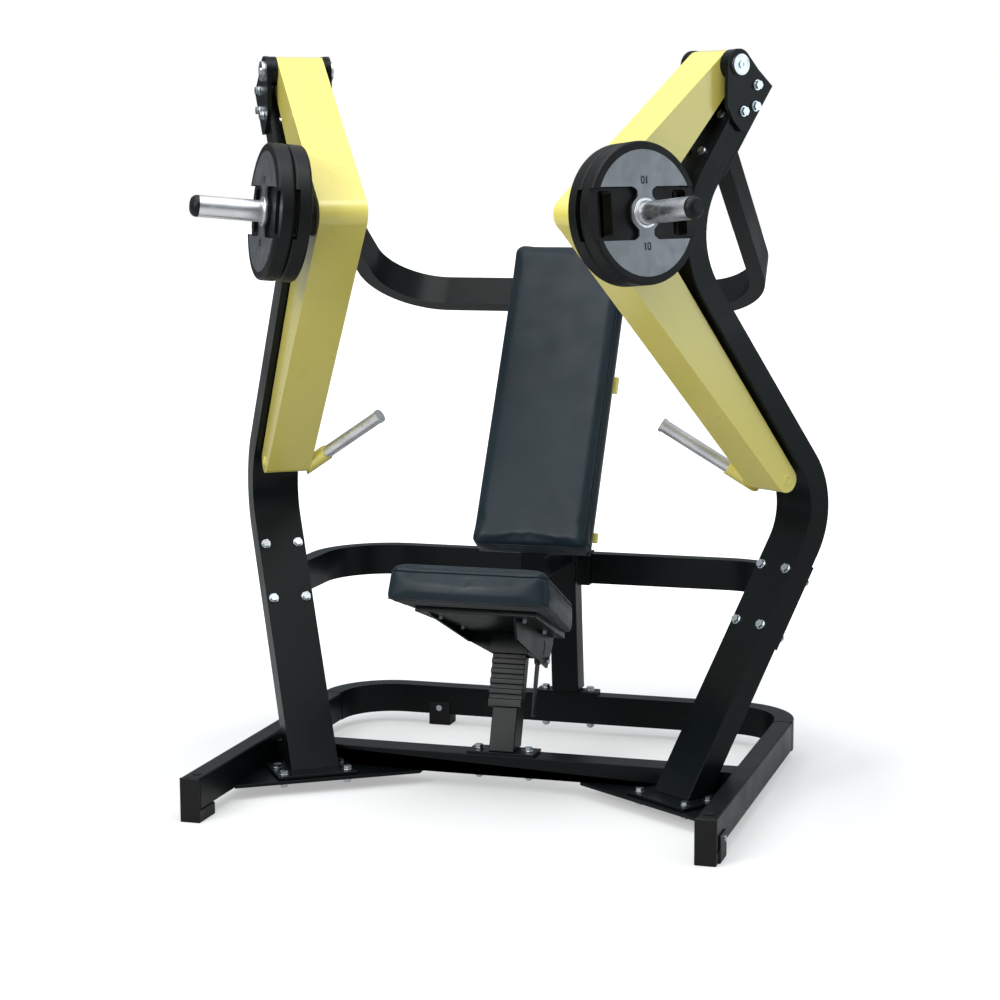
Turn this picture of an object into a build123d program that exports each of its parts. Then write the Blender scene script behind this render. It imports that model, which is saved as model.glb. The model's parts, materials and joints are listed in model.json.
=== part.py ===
from build123d import *
import math
import os

# Plate-loaded chest press machine, modelled in millimetres.
# X runs across the machine, the user faces -Y, Z is up and the floor is z = 0.
# Each side's upright and arm lie in an upright plane toed in by TOE degrees. In that
# plane s runs backwards and outwards, and u runs across it, so a point is (u, s, z).
# Everything is built on the +X side and mirrored.

TOE = math.radians(35.0)
U_DIR = Vector(math.cos(TOE), -math.sin(TOE), 0)
S_DIR = Vector(math.sin(TOE), math.cos(TOE), 0)
UP = Vector(0, 0, 1)
SHIFT_Y = -137.5          # puts the origin under the middle of the bounding box
WALL = 4.0

# Base frame
RAIL_HALF = 25.0
RAIL_X = 616.0
RAIL_LOW = 30.0
RAIL_HIGH = 107.0
RAIL_FRONT = -450.0
BOW_START = 488.0
BOW_Y = 653.0
BOW_RADIUS = 160.0
CROSS_FRONT = 18.0
CROSS_BACK = 88.0
CROSS_HIGH = 88.0
GUSSET_LOW = 30.0
GUSSET_HIGH = 38.0
FOOT_PLATE_HIGH = 46.0

# Uprights: a 120 x 60 tube bent in the toed-in plane
UP_IN = 350.0
UP_OUT = 470.0
UP_HALF = 30.0
UP_PATH = [(210.0, 8.0), (666.0, 713.0), (160.0, 1365.0), (415.0, 1722.0)]
UP_RADII = [180.0, 222.0]
LEAN = math.atan2(UP_PATH[1][0] - UP_PATH[0][0], UP_PATH[1][1] - UP_PATH[0][1])
FOOT_S = (145.0, 290.0)
FOOT_U = (316.0, 516.0)

# Pivots and arms
PIVOT_S = 332.0
PIVOT_Z = 1751.0
SHAFT_R = 15.0
PLATE_IN = (320.0, 330.0)
PLATE_OUT = (470.0, 480.0)
ARM_IN = 338.0
ARM_OUT = 452.0
ARM_TOP_R = 34.0
ARM_END = (530.0, 776.0)
ARM_END_R = 31.0
ARM_FRONT = (-118.0, 1422.0)
ARM_BACK = (74.0, 1412.0)

# Horns and weight plates, along an axis tilted up by HORN_TILT
HORN_TILT = math.radians(5.3)
HORN_DIR = U_DIR * math.cos(HORN_TILT) + UP * math.sin(HORN_TILT)
HORN_S = -28.0
HORN_Z = 1413.0
HORN_R = 25.0
HORN_LENGTH = 266.0
HORN_GROOVE = 118.3       # where the free end of the horn begins
PLATE_R = 157.0
PLATE_THICK = 40.0
PLATE_STARTS = (37.0, 77.3)
STEEL_R = 138.0
BORE_R = 25.5

# Handles
GRIP_TIP = (193.0, 362.0, 898.0)
GRIP_DIR = (0.570, 0.626, -0.532)
GRIP_LENGTH = 188.0
GRIP_R = 16.0

# Loops behind the uprights
LOOP_X = 525.0
LOOP_END = 720.0
LOOP_RADIUS = 180.0
MID_X = 628.0
MID_Y = 620.0
MID_Z = 460.0
MID_RADIUS = 190.0

# Seat and backrest
TILT = math.radians(19.1)
SEAT_ALONG = Vector(0, math.cos(TILT), -math.sin(TILT))
SEAT_NORMAL = Vector(0, math.sin(TILT), math.cos(TILT))
SEAT_FRONT = Vector(0, -260, 522)
SEAT_LENGTH = 464.0
SEAT_HALF_FRONT = 203.0
SEAT_HALF_BACK = 140.0
POST_T = 444.0
POST_HALF = 32.0
RACK_DEEP = 9.0
RACK_HALF = 43.0
RECLINE = math.radians(29.0)
BACK_ALONG = Vector(0, math.sin(RECLINE), math.cos(RECLINE))
BACK_NORMAL = Vector(0, math.cos(RECLINE), -math.sin(RECLINE))
BACK_FOOT = Vector(0, 254, 576)
BACK_LENGTH = 850.0
BACK_HALF = 153.0
PAD_DEEP = 66.0
BOARD_BACK = 84.0
BEAM_HIGH = 534.0
BEAM_LOW = 478.0

parts = {}
groups = {"frame_bolts": [], "foot_plates": [], "pivot_plates": [], "joint_plates": []}


def place(u, s, z):
    """World point of (u, s, z) on the +X side."""
    return U_DIR * u + S_DIR * s + UP * z


def side_plane(u):
    """Plane of the toed-in side at u, with local x along s and local y up."""
    return Plane(origin=place(u, 0, 0), x_dir=S_DIR, z_dir=U_DIR)


def face_of(points, radii=None):
    """Closed polygon facing up, its corners rounded by the matching radii."""
    rounds = list(radii) if radii else [0] * len(points)
    following = points[1:] + points[:1]
    area = sum(a[0] * b[1] - b[0] * a[1] for a, b in zip(points, following))
    if area < 0:
        points = points[::-1]
        rounds = rounds[::-1]
    sheet = make_face(Polyline(*points, close=True))
    for point, radius in zip(points, rounds):
        if radius:
            corner = sheet.vertices().sort_by_distance(Vector(point[0], point[1], 0))[0]
            sheet = fillet(corner, radius)
    return sheet


def offset_corners(path, radii, shift):
    """Corners and radii of a bent path moved sideways to its left by shift."""
    corners = []
    rounds = []
    for index, point in enumerate(path):
        here = Vector(point[0], point[1], 0)
        before = Vector(*path[index - 1], 0) if index > 0 else None
        after = Vector(*path[index + 1], 0) if index < len(path) - 1 else None
        first = (here - before).normalized() if before is not None else (after - here).normalized()
        second = (after - here).normalized() if after is not None else first
        left_a = Vector(-first.Y, first.X, 0)
        left_b = Vector(-second.Y, second.X, 0)
        moved = here + (left_a + left_b) * (shift / (1 + left_a.dot(left_b)))
        turn = first.cross(second).Z
        radius = 0
        if 0 < index < len(path) - 1:
            radius = radii[index - 1] - shift if turn > 0 else radii[index - 1] + shift
        corners.append((moved.X, moved.Y))
        rounds.append(radius)
    return corners, rounds


def band(path, radii, half, inset=0.0):
    """Flat strip of half-width half along a bent path, shortened by inset at its ends."""
    first = Vector(path[1][0] - path[0][0], path[1][1] - path[0][1], 0).normalized()
    last = Vector(path[-1][0] - path[-2][0], path[-1][1] - path[-2][1], 0).normalized()
    points = list(path)
    points[0] = (path[0][0] + first.X * inset, path[0][1] + first.Y * inset)
    points[-1] = (path[-1][0] - last.X * inset, path[-1][1] - last.Y * inset)
    left, left_radii = offset_corners(points, radii, half)
    right, right_radii = offset_corners(points, radii, -half)
    return face_of(left + right[::-1], left_radii + right_radii[::-1])


def slab(sheet, plane, low, high):
    """Extrude a flat sheet from low to high along the plane's normal."""
    moved = Plane(origin=plane.origin + plane.z_dir * low, x_dir=plane.x_dir, z_dir=plane.z_dir)
    return extrude(moved * sheet, high - low)


def tube(path, radii, half, plane, low, high):
    """Closed hollow tube bent in a plane."""
    outer = slab(band(path, radii, half), plane, low, high)
    inner = slab(band(path, radii, half - WALL, WALL), plane, low + WALL, high - WALL)
    return outer - inner


def block(x0, x1, y0, y1, z0, z1):
    return Pos((x0 + x1) / 2, (y0 + y1) / 2, (z0 + z1) / 2) * Box(x1 - x0, y1 - y0, z1 - z0)


def hollow(x0, x1, y0, y1, z0, z1):
    """Closed rectangular tube."""
    inner = block(x0 + WALL, x1 - WALL, y0 + WALL, y1 - WALL, z0 + WALL, z1 - WALL)
    return block(x0, x1, y0, y1, z0, z1) - inner


def rod(start, direction, length, radius):
    """Cylinder from start along direction."""
    plane = Plane(origin=start, z_dir=direction)
    return extrude(plane * Circle(radius), length)


def hexagon(start, direction, length, across):
    plane = Plane(origin=start, z_dir=direction)
    return extrude(plane * RegularPolygon(across / 2, 6, major_radius=False), length)


def bolt(head_seat, direction, grip, radius, nut=True):
    """Hex bolt with washers. It points along direction and clamps a stack grip deep."""
    across = radius * 3.0
    one = hexagon(head_seat - direction * (2 + radius * 1.3), direction, radius * 1.3, across)
    one += rod(head_seat - direction * 2, direction, 2, radius * 2.0)
    one += rod(head_seat, direction, grip + (3 + radius * 2 if nut else 0), radius)
    if nut:
        one += rod(head_seat + direction * grip, direction, 2, radius * 2.0)
        one += hexagon(head_seat + direction * (grip + 2), direction, radius * 1.6, across)
    return one


def cut_holes(solid, seats, direction, radius):
    for seat in seats:
        solid -= rod(seat - direction * 60, direction, 320, radius)
    return solid


def both(name, solid):
    """Keep a +X side part and its mirror image."""
    parts["right_" + name] = solid
    parts["left_" + name] = mirror(solid, Plane.YZ)


def pair(name, solid):
    """Keep a small +X side part and its mirror image as one node."""
    parts[name] = Compound(children=solid.solids() + mirror(solid, Plane.YZ).solids())


def gather(group, *solids):
    """Add solids that are already on both sides, or on the middle line, to a shared node."""
    for solid in solids:
        groups[group].extend(solid.solids())


def gather_pair(group, solid):
    gather(group, solid, mirror(solid, Plane.YZ))


def tangent(point, centre, radius, side):
    """Point where the line from point touches a circle, on its left (1) or right (-1)."""
    dx = centre[0] - point[0]
    dz = centre[1] - point[1]
    reach = math.hypot(dx, dz)
    swing = math.asin(radius / reach) * side
    length = math.sqrt(reach * reach - radius * radius)
    heading = math.atan2(dz, dx) + swing
    return (point[0] + length * math.cos(heading), point[1] + length * math.sin(heading))


def pulled_in(point, ahead, behind, inset):
    """A corner moved inside an outline so that both its sides move in by inset."""
    a = (Vector(*ahead, 0) - Vector(*point, 0)).normalized()
    b = (Vector(*behind, 0) - Vector(*point, 0)).normalized()
    middle = (a + b).normalized()
    sine = math.sqrt(max(0.0, 1 - middle.dot(a) ** 2))
    moved = Vector(*point, 0) + middle * (inset / sine)
    return (moved.X, moved.Y)


def arm_face(inset):
    """Side outline of an arm, shrunk by inset."""
    pivot = (PIVOT_S, PIVOT_Z)
    front = pulled_in(ARM_FRONT, pivot, ARM_END, inset)
    back = pulled_in(ARM_BACK, pivot, ARM_END, -inset)
    top_r = ARM_TOP_R - inset
    end_r = ARM_END_R - inset
    points = [
        tangent(front, pivot, top_r, 1),
        front,
        tangent(front, ARM_END, end_r, -1),
        tangent(back, ARM_END, end_r, 1),
        back,
        tangent(back, pivot, top_r, -1),
    ]
    outline = face_of(points, [0, 40 - inset, 0, 0, 25 + inset, 0])
    outline += Pos(PIVOT_S, PIVOT_Z) * Circle(top_r)
    outline += Pos(ARM_END[0], ARM_END[1]) * Circle(end_r)
    return outline


def base_frame():
    inner_x = RAIL_X - RAIL_HALF
    outer_x = RAIL_X + RAIL_HALF
    rail = hollow(inner_x, outer_x, RAIL_FRONT, BOW_START, RAIL_LOW, RAIL_HIGH)
    plug_seat = Vector(RAIL_X, RAIL_FRONT + 38, RAIL_HIGH)
    rail -= rod(plug_seat - UP * (WALL + 1), UP, 8, 11)
    pair("side_rails", rail)
    pair("rail_plugs", rod(plug_seat - UP * WALL, UP, WALL + 1.5, 11))
    path = [(RAIL_X, BOW_START), (RAIL_X, BOW_Y), (-RAIL_X, BOW_Y), (-RAIL_X, BOW_START)]
    bow = tube(path, [BOW_RADIUS] * 2, RAIL_HALF, Plane.XY, RAIL_LOW, RAIL_HIGH)
    column_seats = [Vector(x, BOW_Y, RAIL_HIGH + 10) for x in (-62, 62)]
    parts["rear_bow"] = cut_holes(bow, column_seats, -UP, 6.2)
    foot = block(inner_x, outer_x, RAIL_FRONT - 6, RAIL_FRONT, 0, RAIL_HIGH)
    foot += block(inner_x, outer_x, RAIL_FRONT, RAIL_FRONT + 85, 0, RAIL_LOW)
    foot += block(outer_x, outer_x + 5, RAIL_FRONT + 20, RAIL_FRONT + 85, 0, 64)
    foot -= rod(Vector(outer_x, RAIL_FRONT + 60, 48), Vector(1, 0, 0), 5, 4.2)
    pair("front_feet", foot)
    screw = rod(Vector(outer_x, RAIL_FRONT + 60, 48), Vector(1, 0, 0), 5, 4)
    front_screw = screw + rod(Vector(outer_x + 5, RAIL_FRONT + 60, 48), Vector(1, 0, 0), 3, 8)
    bow_front = BOW_Y - RAIL_HALF
    rear_foot = block(328, 388, bow_front, BOW_Y + RAIL_HALF, 0, RAIL_LOW)
    rear_foot += block(328, 388, bow_front - 5, bow_front, 0, 64)
    rear_foot -= rod(Vector(358, bow_front, 48), Vector(0, -1, 0), 5, 4.2)
    pair("rear_feet", rear_foot)
    screw = rod(Vector(358, bow_front, 48), Vector(0, -1, 0), 5, 4)
    rear_screw = screw + rod(Vector(358, bow_front - 5, 48), Vector(0, -1, 0), 3, 8)
    pair("foot_screws", Compound(children=[front_screw, rear_screw]))


def foot_bolt_seats():
    return [place(u, s, FOOT_PLATE_HIGH) for u in (337, 497) for s in (166, 240)]


def cross_and_gussets(upright_outer):
    inner_x = RAIL_X - RAIL_HALF
    member = hollow(-inner_x, inner_x, CROSS_FRONT, CROSS_BACK, GUSSET_HIGH, CROSS_HIGH)
    member -= upright_outer
    member -= mirror(upright_outer, Plane.YZ)
    middle = (CROSS_FRONT + CROSS_BACK) / 2
    seats = [Vector(x, middle, CROSS_HIGH + 8) for x in (-64, 64)]
    parts["front_cross_member"] = cut_holes(member, seats, -UP, 6.2)
    foot = block(-86, 86, CROSS_FRONT, CROSS_BACK, CROSS_HIGH, CROSS_HIGH + 8)
    gather("foot_plates", cut_holes(foot, seats, -UP, 6.2))
    depth = CROSS_HIGH + 8 - GUSSET_HIGH
    gather("frame_bolts", *[bolt(seat, -UP, depth, 6) for seat in seats])
    gusset = face_of([(inner_x, -250), (inner_x, CROSS_BACK), (205, CROSS_BACK), (205, 15)])
    gusset = slab(gusset, Plane.XY, GUSSET_LOW, GUSSET_HIGH)
    pair("gussets", cut_holes(gusset, foot_bolt_seats(), -UP, 6.2))


def uprights():
    plane = side_plane(0)
    outer = slab(band(UP_PATH, UP_RADII, UP_HALF), plane, UP_IN, UP_OUT)
    inner_a = slab(band(UP_PATH, UP_RADII, UP_HALF - WALL, WALL), plane, UP_IN + WALL, UP_OUT - WALL)
    floor_cut = face_of([(0, -90), (600, -90), (600, FOOT_PLATE_HIGH), (0, FOOT_PLATE_HIGH)])
    floor_cut = slab(floor_cut, plane, 300, 520)
    upright = outer - inner_a - floor_cut
    upright = cut_holes(upright, mid_seats(), MID_BOLT_DIR, 6.2)
    upright = cut_holes(upright, loop_seats(), LOOP_BOLT_DIR, 6.2)
    upright = cut_holes(upright, bracket_seats(), -U_DIR, 6.2)
    both("upright", upright)
    foot = face_of([(FOOT_S[0], GUSSET_HIGH), (FOOT_S[1], GUSSET_HIGH), (FOOT_S[1], FOOT_PLATE_HIGH),
                    (FOOT_S[0], FOOT_PLATE_HIGH)])
    foot = slab(foot, plane, FOOT_U[0], FOOT_U[1])
    foot -= block(RAIL_X - RAIL_HALF, 700, -500, 500, 0, 200)
    foot -= block(0, 700, CROSS_FRONT, CROSS_BACK, 0, 200)
    gather_pair("foot_plates", cut_holes(foot, foot_bolt_seats(), -UP, 6.2))
    depth = FOOT_PLATE_HIGH - GUSSET_LOW
    bolts = [bolt(seat, -UP, depth, 6) for seat in foot_bolt_seats()]
    gather_pair("frame_bolts", Compound(children=bolts))
    return outer


MID_BOLT_DIR = S_DIR * math.cos(LEAN) - UP * math.sin(LEAN)
TOP_DIR = Vector(UP_PATH[3][0] - UP_PATH[2][0], UP_PATH[3][1] - UP_PATH[2][1], 0).normalized()
LOOP_BOLT_DIR = S_DIR * TOP_DIR.Y - UP * TOP_DIR.X


def front_line(z, upper):
    """The s of an upright's front face at height z, on its lower or top straight."""
    first = UP_PATH[2] if upper else UP_PATH[0]
    second = UP_PATH[3] if upper else UP_PATH[1]
    slope = (second[0] - first[0]) / (second[1] - first[1])
    return first[0] + slope * (z - first[1]) - UP_HALF * math.sqrt(1 + slope * slope)


def mid_seats():
    return [place(u, front_line(z, False), z) for u in (368, 452) for z in (560, 433)]


def loop_seats():
    return [place(u, front_line(z, True), z) for u in (383, 437) for z in (1638, 1556)]


def bracket_seats():
    return [place(PLATE_OUT[1], s, z) for s, z in ((388, 1706), (383, 1658), (346, 1646))]


def pivots():
    shape = face_of([(296, 1745), (296, 1658), (313, 1627), (339, 1601), (361, 1599), (437, 1704),
                     (392, 1741),
                     (356, 1778)])
    shape += Pos(PIVOT_S, PIVOT_Z) * Circle(36)
    shape -= Pos(PIVOT_S, PIVOT_Z) * Circle(SHAFT_R + 0.05)
    plane = side_plane(0)
    outer = cut_holes(slab(shape, plane, *PLATE_OUT), bracket_seats(), -U_DIR, 6.2)
    inner = cut_holes(slab(shape, plane, *PLATE_IN), bracket_seats(), -U_DIR, 6.2)
    gather_pair("pivot_plates", outer)
    gather_pair("pivot_plates", inner)
    spacer = band([(335, 1608), (405, 1708)], [], 27)
    spacer = slab(spacer, plane, PLATE_IN[1], UP_IN)
    pair("pivot_spacers", cut_holes(spacer, bracket_seats(), -U_DIR, 6.2))
    depth = PLATE_OUT[1] - PLATE_IN[0]
    gather_pair("frame_bolts", Compound(children=[bolt(seat, -U_DIR, depth, 6) for seat in bracket_seats()]))
    start = place(PLATE_IN[0] - 8, PIVOT_S, PIVOT_Z)
    shaft = rod(start, U_DIR, depth + 16, SHAFT_R)
    caps = []
    for start_u, direction in ((PLATE_OUT[1], U_DIR), (PLATE_IN[0], -U_DIR)):
        seat = place(start_u, PIVOT_S, PIVOT_Z)
        ring = rod(seat, direction, 8, 24) - rod(seat - direction, direction, 10, SHAFT_R + 0.05)
        caps.append(ring)
    pair("pivot_collars", Compound(children=caps))
    screw = rod(place(PLATE_OUT[1] + 8, PIVOT_S, PIVOT_Z), U_DIR, 3, 9)
    screw -= hexagon(place(PLATE_OUT[1] + 9.5, PIVOT_S, PIVOT_Z), U_DIR, 3, 8)
    pair("pivot_shafts", shaft + screw)


def arm():
    plane = side_plane(0)
    body = slab(arm_face(0), plane, ARM_IN, ARM_OUT)
    body -= slab(arm_face(WALL), plane, ARM_IN + WALL, ARM_OUT - WALL)
    pivot = place(0, PIVOT_S, PIVOT_Z)
    body -= rod(pivot + U_DIR * (ARM_IN - 5), U_DIR, ARM_OUT - ARM_IN + 10, 30)
    hub = rod(pivot + U_DIR * (PLATE_IN[1] + 0.6), U_DIR, PLATE_OUT[0] - PLATE_IN[1] - 1.2, 30)
    hub += rod(pivot + U_DIR * ARM_OUT, U_DIR, PLATE_OUT[0] - ARM_OUT - 0.6, 35)
    hub += rod(pivot + U_DIR * (PLATE_IN[1] + 0.6), U_DIR, ARM_IN - PLATE_IN[1] - 0.6, 35)
    hub -= rod(pivot + U_DIR * (PLATE_IN[1] - 5), U_DIR, 160, SHAFT_R + 0.05)
    both("pivot_hub", hub)
    horn_and_plates()
    both("arm", body + handle())
    bumper()


def horn_and_plates():
    root = place(ARM_OUT, HORN_S, HORN_Z)
    beyond = face_of([(-400, 1200), (400, 1200), (400, 1600), (-400, 1600)])
    beyond = slab(beyond, side_plane(0), 300, ARM_OUT)
    horn = rod(root - HORN_DIR * 10, HORN_DIR, HORN_LENGTH + 10, HORN_R) - beyond
    horn -= rod(root + HORN_DIR * 2, HORN_DIR, HORN_LENGTH, HORN_R - 4)
    groove = rod(root + HORN_DIR * HORN_GROOVE, HORN_DIR, 2, HORN_R + 5)
    horn -= groove - rod(root, HORN_DIR, HORN_LENGTH, HORN_R - 0.8)
    both("horn", horn)
    collar = rod(root - HORN_DIR * 10, HORN_DIR, 10 + PLATE_STARTS[0] - 0.3, 46) - beyond
    collar -= rod(root - HORN_DIR * 20, HORN_DIR, 80, HORN_R)
    both("horn_collar", collar)
    tip = root + HORN_DIR * HORN_LENGTH
    cap_plane = Plane(origin=tip, z_dir=HORN_DIR)
    cap = extrude(Circle(HORN_R), 18)
    cap = fillet(cap.edges().group_by(Axis.Z)[-1], 15)
    cap += Pos(0, 0, -12) * extrude(Circle(HORN_R - 4), 12)
    both("horn_cap", cap_plane.location * cap)
    for name, start in zip(("inner", "outer"), PLATE_STARTS):
        plate = Plane(origin=root + HORN_DIR * start, x_dir=S_DIR, z_dir=HORN_DIR)
        tread, steel = weight_plate()
        both(name + "_plate_rubber", plate.location * tread)
        both(name + "_plate_steel", plate.location * steel)


def grip_window():
    """Side cut-out of a weight plate's steel face, open at the steel's edge."""
    points = [(40, 14), (36, 22), (21, 36), (21, 50), (34, 58), (150, 58), (150, -58), (34, -58), (21, -50),
              (21, -36), (36, -22), (40, -14)]
    return face_of(points, [0, 0, 6, 6, 9, 0, 0, 9, 6, 6, 0, 0])


def weight_plate():
    """Rubber body and steel face disc, thickness along +Z from z = 0."""
    recess = 7.0
    face_depth = 4.0
    face_low = PLATE_THICK - face_depth
    tread = extrude(Circle(PLATE_R), PLATE_THICK)
    tread = fillet(tread.edges().filter_by(GeomType.CIRCLE), 7)
    tread -= Pos(0, 0, face_low) * extrude(Circle(STEEL_R), 10)
    window = grip_window() + mirror(grip_window(), Plane.YZ)
    side_dips = Pos(0, 0, face_low - recess) * extrude(Rectangle(400, 112), 40)
    tread -= side_dips - Pos(0, 0, -1) * extrude(Circle(STEEL_R - 8), 80)
    tread -= Pos(0, 0, face_low - recess) * extrude(window & Circle(STEEL_R - 7), 40)
    grips = face_of([(88, 50), (128, 50), (128, -50), (88, -50)], [8, 8, 8, 8])
    tread -= Pos(0, 0, -1) * extrude(grips + mirror(grips, Plane.YZ), 80)
    tread -= Pos(0, 0, -1) * extrude(Circle(34), 80)
    steel = Pos(0, 0, face_low) * extrude(Circle(STEEL_R) - window, face_depth)
    steel += extrude(Circle(34), PLATE_THICK)
    steel -= Pos(0, 0, -1) * extrude(Circle(BORE_R), 80)
    return tread, steel


def handle():
    tip = place(*GRIP_TIP)
    axis = (U_DIR * GRIP_DIR[0] + S_DIR * GRIP_DIR[1] + UP * GRIP_DIR[2]).normalized()
    zone = slab(face_of([(300, 500), (800, 500), (800, 1000), (300, 1000)]), side_plane(0), ARM_IN, 700)
    stub = rod(tip + axis * GRIP_LENGTH, axis, 100, 20) - zone
    grip = rod(tip + axis * 3, axis, GRIP_LENGTH - 3, GRIP_R)
    both("grip", grip + rod(tip - axis * 4, axis, 8, GRIP_R + 1.5))
    return stub


def bumper():
    low_end = tangent(ARM_BACK, ARM_END, ARM_END_R, 1)
    slope = (low_end[0] - ARM_BACK[0]) / (low_end[1] - ARM_BACK[1])
    heights = (842, 888)
    arm_side = [(ARM_BACK[0] + slope * (z - ARM_BACK[1]) + 0.4, z) for z in heights]
    first = UP_PATH[1]
    second = UP_PATH[2]
    upright_slope = (second[0] - first[0]) / (second[1] - first[1])
    reach = UP_HALF * math.sqrt(1 + upright_slope ** 2)
    upright_side = [(first[0] + upright_slope * (z - first[1]) - reach, z) for z in heights]
    pad = face_of([arm_side[0], upright_side[0], upright_side[1], arm_side[1]])
    pair("arm_bumpers", slab(pad, side_plane(0), 378, 442))


def loops():
    along = Vector(0, 0.848, -0.530).normalized()
    normal = Vector(1, 0, 0).cross(along)
    plane = Plane(origin=(0, 98, 1558), x_dir=(1, 0, 0), z_dir=normal)
    path = [(LOOP_X, -140), (LOOP_X, LOOP_END), (-LOOP_X, LOOP_END), (-LOOP_X, -140)]
    outer = slab(band(path, [LOOP_RADIUS] * 2, 20), plane, -40, 40)
    inner = slab(band(path, [LOOP_RADIUS] * 2, 20 - WALL, -5), plane, -40 + WALL, 40 - WALL)
    loop = outer - inner
    plate_points = []
    cut_points = []
    for z in (1500, 1634):
        plate_points.append((front_line(z, True) + 2 * UP_HALF / TOP_DIR.Y, z))
    dx = TOP_DIR.Y * 8
    dz = -TOP_DIR.X * 8
    back = [(s + dx, z + dz) for s, z in plate_points]
    plate = face_of([plate_points[0], back[0], back[1], plate_points[1]])
    plate = cut_holes(slab(plate, side_plane(0), 352, 468), loop_seats(), LOOP_BOLT_DIR, 6.2)
    gather_pair("joint_plates", plate)
    reach = Vector(TOP_DIR.X, TOP_DIR.Y, 0) * 600
    low = (back[0][0] - reach.X, back[0][1] - reach.Y)
    high = (back[0][0] + reach.X, back[0][1] + reach.Y)
    cut_points = [low, high, (high[0] - 700, high[1] + 300), (low[0] - 700, low[1] + 300)]
    cut = slab(face_of(cut_points), side_plane(0), 100, 800)
    loop = loop - cut - mirror(cut, Plane.YZ)
    loop = cut_holes(loop, loop_seats(), LOOP_BOLT_DIR, 12)
    for seat in loop_seats():
        loop -= mirror(rod(seat - LOOP_BOLT_DIR * 60, LOOP_BOLT_DIR, 320, 12), Plane.YZ)
    parts["upper_loop"] = loop
    bolts = [bolt(seat, LOOP_BOLT_DIR, 2 * UP_HALF + 8, 5) for seat in loop_seats()]
    gather_pair("frame_bolts", Compound(children=bolts))
    return outer


def mid_loop():
    plane = Plane.XY
    path = [(75, MID_Y), (MID_X, MID_Y), (MID_X, 100)]
    outer = slab(band(path, [MID_RADIUS], 20), plane, MID_Z - 40, MID_Z + 40)
    inner = slab(band(path, [MID_RADIUS], 20 - WALL, WALL), plane, MID_Z - 40 + WALL, MID_Z + 40 - WALL)
    heights = (372, 560)
    rear = [(front_line(z, False) + 2 * UP_HALF / math.cos(LEAN), z) for z in heights]
    back = [(s + 8 * math.cos(LEAN), z - 8 * math.sin(LEAN)) for s, z in rear]
    plate = slab(face_of([rear[0], back[0], back[1], rear[1]]), side_plane(0), 352, 468)
    gather_pair("joint_plates", cut_holes(plate, mid_seats(), MID_BOLT_DIR, 6.2))
    rise = Vector(math.sin(LEAN), math.cos(LEAN), 0) * 500
    low = (back[0][0] - rise.X, back[0][1] - rise.Y)
    high = (back[0][0] + rise.X, back[0][1] + rise.Y)
    cut = face_of([low, high, (high[0] - 700, high[1]), (low[0] - 700, low[1])])
    cut = slab(cut, side_plane(0), 200, 700)
    half = outer - inner - cut
    half = cut_holes(half, mid_seats(), MID_BOLT_DIR, 14)
    pair("mid_tubes", half)
    depth = 2 * UP_HALF + 8
    bolts = [bolt(seat, MID_BOLT_DIR, depth, 6) for seat in mid_seats()]
    gather_pair("frame_bolts", Compound(children=bolts))
    bracket = block(41, 75, MID_Y - 30, MID_Y + 24, MID_Z - 44, MID_Z + 44)
    pair("column_brackets", bracket)


def column_and_beam():
    plane = Plane.YZ
    base = (BOW_Y, RAIL_HIGH + 10)
    top = (607, 566)
    slope = (top[0] - base[0]) / (top[1] - base[1])
    face = face_of([(base[0] - 35, base[1]), (base[0] + 35, base[1]), (top[0] + 35, top[1]),
                    (top[0] - 35, top[1])])
    inner = face_of([(base[0] - 31, base[1] + WALL), (base[0] + 31, base[1] + WALL),
                     (top[0] + 31, top[1] - WALL),
                     (top[0] - 31, top[1] - WALL)])
    column = slab(face, plane, -37, 37) - slab(inner, plane, -33, 33)
    parts["rear_column"] = column
    foot = block(-84, 84, BOW_Y - 24, BOW_Y + 24, RAIL_HIGH, RAIL_HIGH + 10)
    seats = [Vector(x, BOW_Y, RAIL_HIGH + 10) for x in (-62, 62)]
    gather("foot_plates", cut_holes(foot, seats, -UP, 6.2))
    depth = RAIL_HIGH + 10 - RAIL_LOW
    gather("frame_bolts", *[bolt(seat, -UP, depth, 6) for seat in seats])
    back = top[0] - 30
    drop = math.tan(RECLINE)
    shoulder = BACK_FOOT.Y + (BACK_FOOT.Z - 0.5 - BEAM_HIGH) / drop
    nose = BACK_FOOT.Z - 0.5 - drop * (300 - BACK_FOOT.Y)
    beam = face_of([(300, BEAM_LOW), (back, BEAM_LOW), (back, BEAM_HIGH), (shoulder, BEAM_HIGH), (300, nose)])
    beam_inner = face_of([(304, BEAM_LOW + WALL), (back, BEAM_LOW + WALL), (back, BEAM_HIGH - WALL),
                          (304, BEAM_HIGH - WALL)])
    beam = slab(beam, plane, -30, 30) - slab(beam_inner, plane, -26, 26)
    beam -= slab(face, plane, -60, 60)
    parts["back_beam"] = beam


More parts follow.
